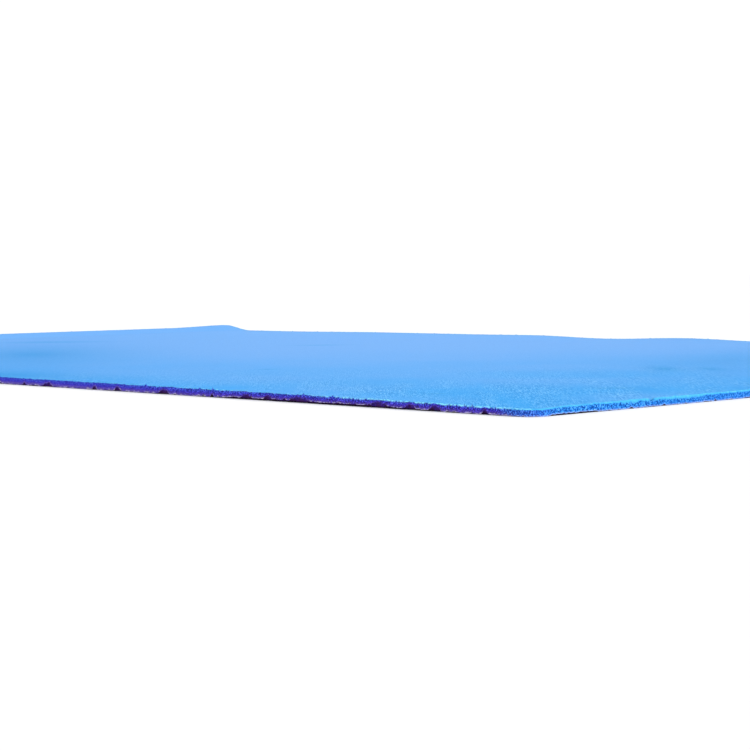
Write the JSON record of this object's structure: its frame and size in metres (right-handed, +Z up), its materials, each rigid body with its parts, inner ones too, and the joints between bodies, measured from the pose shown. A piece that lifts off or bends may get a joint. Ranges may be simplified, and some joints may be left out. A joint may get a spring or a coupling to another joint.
{
  "type": "craft foam sheet",
  "caption": "Thin flat sheet of soft blue closed-cell foam with cut edges and rounded corners, for craft work.",
  "frame": {"origin": "on the floor, under the middle of the sheet, which lies on its face", "axes": "+X along the long side, away from the end that curls up; +Y along the short side, towards the side with the low waves; +Z up through the thickness"},
  "size_m": [0.6, 0.4, 0.0051],
  "materials": {
    "azure_eva_foam": "matte"
  },
  "bodies": {
    "root": {"foam_sheet": "azure_eva_foam"}
  },
  "joints": []
}
